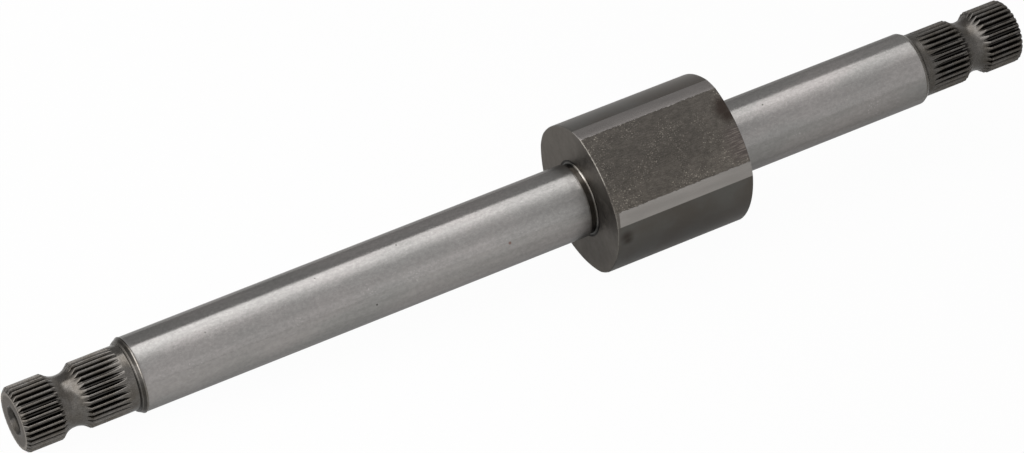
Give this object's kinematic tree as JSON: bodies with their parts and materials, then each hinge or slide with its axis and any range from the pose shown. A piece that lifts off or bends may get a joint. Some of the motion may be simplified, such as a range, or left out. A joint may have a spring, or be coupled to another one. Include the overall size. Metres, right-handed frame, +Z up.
{
  "type": "pedal shaft",
  "caption": "Steel pedal shaft with ground journals either side of a lobed block, and a serrated crank seat with a clamp bolt groove at each end.",
  "frame": {"origin": "on the surface that the shaft lies on, at the middle of its length and width", "axes": "+Z up; +X along the shaft as seen from above, from the end with the long journal to the end with the short one; the shaft's own axis climbs about 4 degrees towards +X, because it lies on its near serration and on the edge of the block"},
  "size_m": [0.2358, 0.0326, 0.0348],
  "materials": {
    "shaft_steel": "journals and lands ground to a satin finish; serrated ends, block faces and end faces dark, as left by hardening"
  },
  "bodies": {
    "root": {"pedal_shaft": "shaft_steel"}
  },
  "joints": []
}
